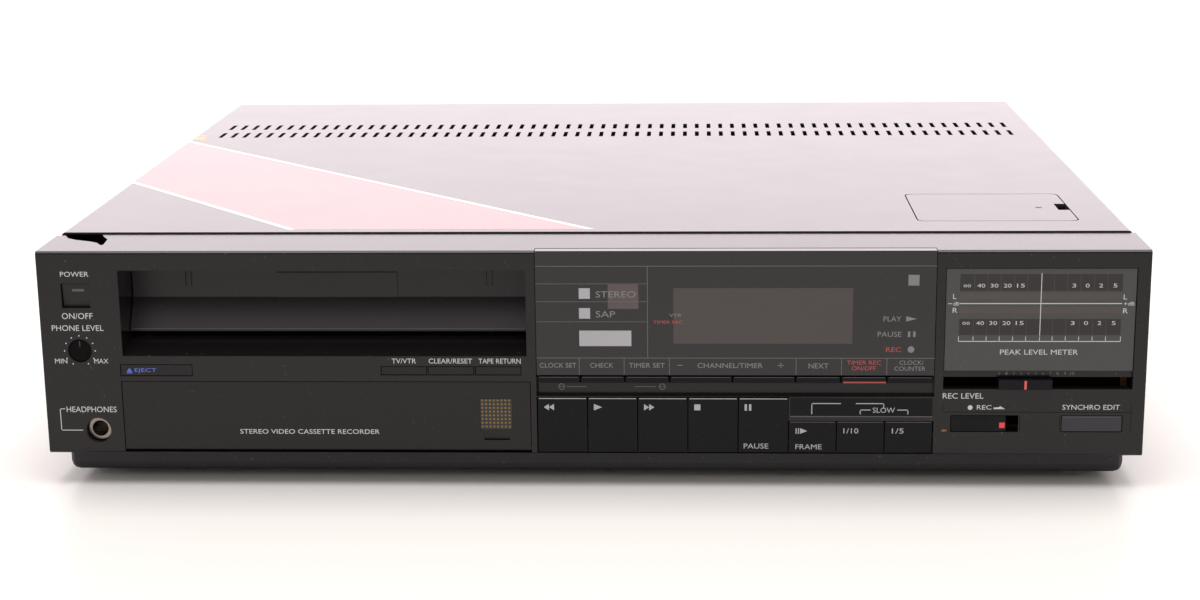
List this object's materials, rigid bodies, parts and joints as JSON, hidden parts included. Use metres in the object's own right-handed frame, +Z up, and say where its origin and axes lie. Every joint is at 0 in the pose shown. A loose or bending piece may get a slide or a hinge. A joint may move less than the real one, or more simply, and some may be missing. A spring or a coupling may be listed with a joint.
{
  "type": "video cassette recorder",
  "caption": "Front-loading video cassette recorder with cassette flap, drop-down control door, transport keys, level meter, fader and tape deck inside.",
  "frame": {"origin": "on the ground under the middle of the machine's bounding box", "axes": "+X to the right as seen from the front, +Y to the rear, +Z up; the front faces -Y"},
  "size_m": [0.43, 0.379, 0.0961],
  "materials": {
    "dark_plastic": "satin dark grey moulding",
    "key_plastic": "satin near-black moulding",
    "black_plastic": "satin black moulding",
    "painted_sheet": "satin dark grey paint on steel sheet",
    "bare_steel": "plated steel",
    "cast_alloy": "turned alloy",
    "board_laminate": "phenolic board",
    "smoked_lens": "smoked acrylic",
    "grey_lens": "grey acrylic",
    "rubber": "black rubber"
  },
  "bodies": {
    "casing": {"foot_front_left": "rubber", "foot_front_right": "rubber", "foot_rear_left": "rubber", "foot_rear_right": "rubber", "bottom_tray": "black_plastic", "front_bezel": "dark_plastic", "centre_panel": "smoked_lens", "top_cover": "painted_sheet", "preset_well": "black_plastic", "rear_panel": "painted_sheet", "tuner": "bare_steel", "phono_sockets": "black_plastic", "lead_gland": "rubber", "headphone_jack": "bare_steel", "left_board": "board_laminate", "front_board": "board_laminate", "display_tube": "grey_lens", "meter_window": "grey_lens", "mechanism_deck": "bare_steel", "lift_frame": "bare_steel", "drum_lower": "cast_alloy", "main_board": "board_laminate", "power_transformer": "bare_steel"},
    "power_button": {"power_button": "key_plastic"},
    "eject_button": {"eject_button": "dark_plastic"},
    "input_button": {"input_button": "dark_plastic"},
    "clear_reset_button": {"clear_reset_button": "dark_plastic"},
    "tape_return_button": {"tape_return_button": "dark_plastic"},
    "clock_set_button": {"clock_set_button": "key_plastic"},
    "check_button": {"check_button": "key_plastic"},
    "timer_set_button": {"timer_set_button": "key_plastic"},
    "channel_down_button": {"channel_down_button": "key_plastic"},
    "channel_up_button": {"channel_up_button": "key_plastic"},
    "next_button": {"next_button": "key_plastic"},
    "timer_record_button": {"timer_record_button": "key_plastic"},
    "counter_button": {"counter_button": "key_plastic"},
    "edit_button": {"edit_button": "key_plastic"},
    "rewind_key": {"rewind_key": "key_plastic"},
    "play_key": {"play_key": "key_plastic"},
    "forward_key": {"forward_key": "key_plastic"},
    "stop_key": {"stop_key": "key_plastic"},
    "pause_key": {"pause_key": "key_plastic"},
    "frame_key": {"frame_key": "key_plastic"},
    "slow_tenth_key": {"slow_tenth_key": "key_plastic"},
    "slow_fifth_key": {"slow_fifth_key": "key_plastic"},
    "phone_level_knob": {"phone_level_knob": "black_plastic"},
    "rec_level_slider": {"rec_level_slider": "key_plastic"},
    "record_key": {"record_key": "key_plastic"},
    "tracking_knob": {"tracking_knob": "key_plastic"},
    "speed_switch": {"speed_switch": "key_plastic"},
    "cassette_flap": {"cassette_flap": "dark_plastic"},
    "control_door": {"control_door": "dark_plastic"},
    "preset_lid": {"preset_lid": "painted_sheet"},
    "lift_carriage": {"lift_carriage": "bare_steel"},
    "cassette_basket": {"cassette_basket": "bare_steel"},
    "drum_upper": {"drum_upper": "cast_alloy"},
    "threading_ring": {"threading_ring": "bare_steel"},
    "supply_reel": {"supply_reel": "black_plastic"},
    "takeup_reel": {"takeup_reel": "black_plastic"},
    "capstan_flywheel": {"capstan_flywheel": "bare_steel"}
  },
  "joints": [
    {"name": "power_button_press", "type": "slide", "parent": "casing", "child": "power_button", "axis": [0, 1, 0], "range_m": [0, 0.0025], "stiffness_N_per_m": 250},
    {"name": "eject_button_press", "type": "slide", "parent": "casing", "child": "eject_button", "axis": [0, 1, 0], "range_m": [0, 0.0015], "stiffness_N_per_m": 250},
    {"name": "input_button_press", "type": "slide", "parent": "casing", "child": "input_button", "axis": [0, 1, 0], "range_m": [0, 0.0015], "stiffness_N_per_m": 250},
    {"name": "clear_reset_button_press", "type": "slide", "parent": "casing", "child": "clear_reset_button", "axis": [0, 1, 0], "range_m": [0, 0.0015], "stiffness_N_per_m": 250},
    {"name": "tape_return_button_press", "type": "slide", "parent": "casing", "child": "tape_return_button", "axis": [0, 1, 0], "range_m": [0, 0.0015], "stiffness_N_per_m": 250},
    {"name": "clock_set_button_press", "type": "slide", "parent": "casing", "child": "clock_set_button", "axis": [0, 1, 0], "range_m": [0, 0.0015], "stiffness_N_per_m": 250},
    {"name": "check_button_press", "type": "slide", "parent": "casing", "child": "check_button", "axis": [0, 1, 0], "range_m": [0, 0.0015], "stiffness_N_per_m": 250},
    {"name": "timer_set_button_press", "type": "slide", "parent": "casing", "child": "timer_set_button", "axis": [0, 1, 0], "range_m": [0, 0.0015], "stiffness_N_per_m": 250},
    {"name": "channel_down_button_press", "type": "slide", "parent": "casing", "child": "channel_down_button", "axis": [0, 1, 0], "range_m": [0, 0.0015], "stiffness_N_per_m": 250},
    {"name": "channel_up_button_press", "type": "slide", "parent": "casing", "child": "channel_up_button", "axis": [0, 1, 0], "range_m": [0, 0.0015], "stiffness_N_per_m": 250},
    {"name": "next_button_press", "type": "slide", "parent": "casing", "child": "next_button", "axis": [0, 1, 0], "range_m": [0, 0.0015], "stiffness_N_per_m": 250},
    {"name": "timer_record_button_press", "type": "slide", "parent": "casing", "child": "timer_record_button", "axis": [0, 1, 0], "range_m": [0, 0.0015], "stiffness_N_per_m": 250},
    {"name": "counter_button_press", "type": "slide", "parent": "casing", "child": "counter_button", "axis": [0, 1, 0], "range_m": [0, 0.0015], "stiffness_N_per_m": 250},
    {"name": "edit_button_press", "type": "slide", "parent": "casing", "child": "edit_button", "axis": [0, 1, 0], "range_m": [0, 0.0015], "stiffness_N_per_m": 250},
    {"name": "rewind_key_press", "type": "slide", "parent": "casing", "child": "rewind_key", "axis": [0, 1, 0], "range_m": [0, 0.002], "stiffness_N_per_m": 250},
    {"name": "play_key_press", "type": "slide", "parent": "casing", "child": "play_key", "axis": [0, 1, 0], "range_m": [0, 0.002], "stiffness_N_per_m": 250},
    {"name": "forward_key_press", "type": "slide", "parent": "casing", "child": "forward_key", "axis": [0, 1, 0], "range_m": [0, 0.002], "stiffness_N_per_m": 250},
    {"name": "stop_key_press", "type": "slide", "parent": "casing", "child": "stop_key", "axis": [0, 1, 0], "range_m": [0, 0.002], "stiffness_N_per_m": 250},
    {"name": "pause_key_press", "type": "slide", "parent": "casing", "child": "pause_key", "axis": [0, 1, 0], "range_m": [0, 0.002], "stiffness_N_per_m": 250},
    {"name": "frame_key_press", "type": "slide", "parent": "casing", "child": "frame_key", "axis": [0, 1, 0], "range_m": [0, 0.002], "stiffness_N_per_m": 250},
    {"name": "slow_tenth_key_press", "type": "slide", "parent": "casing", "child": "slow_tenth_key", "axis": [0, 1, 0], "range_m": [0, 0.002], "stiffness_N_per_m": 250},
    {"name": "slow_fifth_key_press", "type": "slide", "parent": "casing", "child": "slow_fifth_key", "axis": [0, 1, 0], "range_m": [0, 0.002], "stiffness_N_per_m": 250},
    {"name": "phone_level_turn", "type": "hinge", "parent": "casing", "child": "phone_level_knob", "pos_m": [-0.2, -0.1875, 0.0556], "axis": [0, -1, 0], "range_deg": [-150, 150]},
    {"name": "rec_level_slide", "type": "slide", "parent": "casing", "child": "rec_level_slider", "axis": [1, 0, 0], "range_m": [-0.0205, 0.0305]},
    {"name": "record_key_slide", "type": "slide", "parent": "casing", "child": "record_key", "axis": [1, 0, 0], "range_m": [0, 0.004], "stiffness_N_per_m": 250},
    {"name": "tracking_turn", "type": "hinge", "parent": "casing", "child": "tracking_knob", "pos_m": [-0.05634, -0.1615, 0.0288], "axis": [0, -1, 0], "range_deg": [-140, 140]},
    {"name": "speed_switch_slide", "type": "slide", "parent": "casing", "child": "speed_switch", "axis": [1, 0, 0], "range_m": [0, 0.005]},
    {"name": "cassette_flap_hinge", "type": "hinge", "parent": "casing", "child": "cassette_flap", "pos_m": [-0.10365, -0.1665, 0.0912], "axis": [1, 0, 0], "range_deg": [0, 88], "stiffness_Nm_per_rad": 0.01, "springref_deg": -28.65},
    {"name": "control_door_hinge", "type": "hinge", "parent": "casing", "child": "control_door", "pos_m": [-0.10365, -0.1861, 0.0159], "axis": [1, 0, 0], "range_deg": [0, 90]},
    {"name": "preset_lid_hinge", "type": "hinge", "parent": "casing", "child": "preset_lid", "pos_m": [0.1328, -0.10625, 0.0957], "axis": [0, -1, 0], "range_deg": [0, 95]},
    {"name": "lift_in", "type": "slide", "parent": "casing", "child": "lift_carriage", "axis": [0, 1, 0], "range_m": [0, 0.04]},
    {"name": "lift_down", "type": "slide", "parent": "lift_carriage", "child": "cassette_basket", "axis": [0, 0, -1], "range_m": [0, 0.018]},
    {"name": "drum_spin", "type": "hinge", "parent": "casing", "child": "drum_upper", "pos_m": [-0.10365, 0.0629, 0.0518], "axis": [0, 0, 1], "continuous": true},
    {"name": "threading_turn", "type": "hinge", "parent": "casing", "child": "threading_ring", "pos_m": [-0.10365, 0.0629, 0.0338], "axis": [0, 0, 1], "range_deg": [0, 270]},
    {"name": "supply_spin", "type": "hinge", "parent": "casing", "child": "supply_reel", "pos_m": [-0.13765, -0.0434, 0.0318], "axis": [0, 0, 1], "continuous": true},
    {"name": "takeup_spin", "type": "hinge", "parent": "casing", "child": "takeup_reel", "pos_m": [-0.06965, -0.0434, 0.0318], "axis": [0, 0, 1], "continuous": true},
    {"name": "capstan_spin", "type": "hinge", "parent": "casing", "child": "capstan_flywheel", "pos_m": [-0.04965, 0.0117, 0.0318], "axis": [0, 0, 1], "continuous": true}
  ]
}
